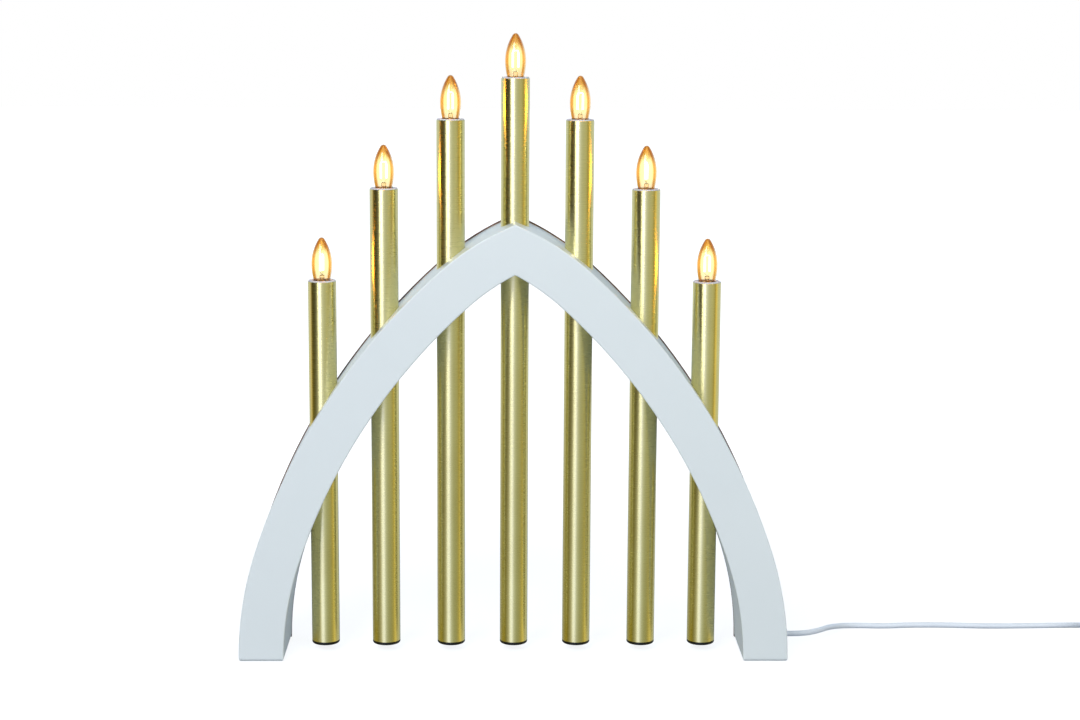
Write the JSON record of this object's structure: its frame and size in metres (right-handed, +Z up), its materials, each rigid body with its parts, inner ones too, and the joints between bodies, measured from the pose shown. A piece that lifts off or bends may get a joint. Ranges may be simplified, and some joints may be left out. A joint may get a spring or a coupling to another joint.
{
  "type": "candle arch",
  "caption": "Electric candle arch: a hollow pointed arch of white painted wood carries upright brass tubes with screw-in candle lamps, and a mains cord leaves its foot.",
  "frame": {"origin": "on the table, under the middle of the arch, at mid depth", "axes": "+X to the right seen from the front, +Y to the back, +Z up"},
  "size_m": [0.6986, 0.1418, 0.4435],
  "materials": {
    "white_paint": "satin white paint on wood",
    "brown_board": "bare brown hardboard",
    "raw_wood": "bare softwood",
    "brushed_brass": "brushed, lacquered",
    "black_plastic": "matt black",
    "white_plastic": "matt white",
    "contact_brass": "bright brass",
    "clear_glass": "clear",
    "cap_nickel": "nickel plated",
    "insulator": "black insulating glass",
    "filament": "lit, warm white",
    "wire_insulation": "plain",
    "cord_white": "smooth white",
    "steel": "zinc plated",
    "pin_metal": "nickel plated"
  },
  "bodies": {
    "arch": {"back_cover": "brown_board", "back_cover_screws": "steel", "candle_tube_1": "brushed_brass", "candle_tube_2": "brushed_brass", "candle_tube_3": "brushed_brass", "candle_tube_4": "brushed_brass", "candle_tube_5": "brushed_brass", "candle_tube_6": "brushed_brass", "candle_tube_7": "brushed_brass", "cord_bush": "cord_white", "cord_clamp": "white_plastic", "cord_clamp_screws": "steel", "cord_coil": "cord_white", "cord_inner_end": "cord_white", "cover_blocks": "raw_wood", "foot_block_left": "raw_wood", "foot_block_right": "raw_wood", "front_panel": "white_paint", "inner_rim_left": "white_paint", "inner_rim_right": "white_paint", "lampholder_bodies": "white_plastic", "lampholder_contacts": "contact_brass", "lampholder_sleeves": "contact_brass", "mains_cord": "cord_white", "outer_rim_left": "white_paint", "outer_rim_right": "white_paint", "plug_body": "cord_white", "plug_pins": "pin_metal", "series_wiring": "wire_insulation", "tube_end_caps": "black_plastic", "wire_connector": "white_plastic"},
    "bulb_1_base": {"bulb_1_contact": "insulator"},
    "bulb_1": {"bulb_1_glass": "clear_glass", "bulb_1_cap": "cap_nickel", "bulb_1_filament": "filament"},
    "bulb_2_base": {"bulb_2_contact": "insulator"},
    "bulb_2": {"bulb_2_glass": "clear_glass", "bulb_2_cap": "cap_nickel", "bulb_2_filament": "filament"},
    "bulb_3_base": {"bulb_3_contact": "insulator"},
    "bulb_3": {"bulb_3_glass": "clear_glass", "bulb_3_cap": "cap_nickel", "bulb_3_filament": "filament"},
    "bulb_4_base": {"bulb_4_contact": "insulator"},
    "bulb_4": {"bulb_4_glass": "clear_glass", "bulb_4_cap": "cap_nickel", "bulb_4_filament": "filament"},
    "bulb_5_base": {"bulb_5_contact": "insulator"},
    "bulb_5": {"bulb_5_glass": "clear_glass", "bulb_5_cap": "cap_nickel", "bulb_5_filament": "filament"},
    "bulb_6_base": {"bulb_6_contact": "insulator"},
    "bulb_6": {"bulb_6_glass": "clear_glass", "bulb_6_cap": "cap_nickel", "bulb_6_filament": "filament"},
    "bulb_7_base": {"bulb_7_contact": "insulator"},
    "bulb_7": {"bulb_7_glass": "clear_glass", "bulb_7_cap": "cap_nickel", "bulb_7_filament": "filament"}
  },
  "joints": [
    {"name": "bulb_1_rise", "type": "slide", "parent": "arch", "child": "bulb_1_base", "axis": [0, 0, 1], "range_m": [0, 0.00726]},
    {"name": "bulb_1_turn", "type": "hinge", "parent": "bulb_1_base", "child": "bulb_1", "pos_m": [-0.13622, 0, 0.26957], "axis": [0, 0, 1], "range_deg": [0, 1440]},
    {"name": "bulb_2_rise", "type": "slide", "parent": "arch", "child": "bulb_2_base", "axis": [0, 0, 1], "range_m": [0, 0.00726]},
    {"name": "bulb_2_turn", "type": "hinge", "parent": "bulb_2_base", "child": "bulb_2", "pos_m": [-0.09222, 0, 0.33495], "axis": [0, 0, 1], "range_deg": [0, 1440]},
    {"name": "bulb_3_rise", "type": "slide", "parent": "arch", "child": "bulb_3_base", "axis": [0, 0, 1], "range_m": [0, 0.00726]},
    {"name": "bulb_3_turn", "type": "hinge", "parent": "bulb_3_base", "child": "bulb_3", "pos_m": [-0.04528, 0, 0.38342], "axis": [0, 0, 1], "range_deg": [0, 1440]},
    {"name": "bulb_4_rise", "type": "slide", "parent": "arch", "child": "bulb_4_base", "axis": [0, 0, 1], "range_m": [0, 0.00726]},
    {"name": "bulb_4_turn", "type": "hinge", "parent": "bulb_4_base", "child": "bulb_4", "pos_m": [0, 0, 0.4125], "axis": [0, 0, 1], "range_deg": [0, 1440]},
    {"name": "bulb_5_rise", "type": "slide", "parent": "arch", "child": "bulb_5_base", "axis": [0, 0, 1], "range_m": [0, 0.00726]},
    {"name": "bulb_5_turn", "type": "hinge", "parent": "bulb_5_base", "child": "bulb_5", "pos_m": [0.04528, 0, 0.38342], "axis": [0, 0, 1], "range_deg": [0, 1440]},
    {"name": "bulb_6_rise", "type": "slide", "parent": "arch", "child": "bulb_6_base", "axis": [0, 0, 1], "range_m": [0, 0.00726]},
    {"name": "bulb_6_turn", "type": "hinge", "parent": "bulb_6_base", "child": "bulb_6", "pos_m": [0.09222, 0, 0.33495], "axis": [0, 0, 1], "range_deg": [0, 1440]},
    {"name": "bulb_7_rise", "type": "slide", "parent": "arch", "child": "bulb_7_base", "axis": [0, 0, 1], "range_m": [0, 0.00726]},
    {"name": "bulb_7_turn", "type": "hinge", "parent": "bulb_7_base", "child": "bulb_7", "pos_m": [0.13622, 0, 0.26957], "axis": [0, 0, 1], "range_deg": [0, 1440]}
  ],
  "couplings": [
    {"joint": "bulb_1_turn", "follows": "bulb_1_rise", "rad_per_m": 3463.7},
    {"joint": "bulb_2_turn", "follows": "bulb_2_rise", "rad_per_m": 3463.7},
    {"joint": "bulb_3_turn", "follows": "bulb_3_rise", "rad_per_m": 3463.7},
    {"joint": "bulb_4_turn", "follows": "bulb_4_rise", "rad_per_m": 3463.7},
    {"joint": "bulb_5_turn", "follows": "bulb_5_rise", "rad_per_m": 3463.7},
    {"joint": "bulb_6_turn", "follows": "bulb_6_rise", "rad_per_m": 3463.7},
    {"joint": "bulb_7_turn", "follows": "bulb_7_rise", "rad_per_m": 3463.7}
  ]
}
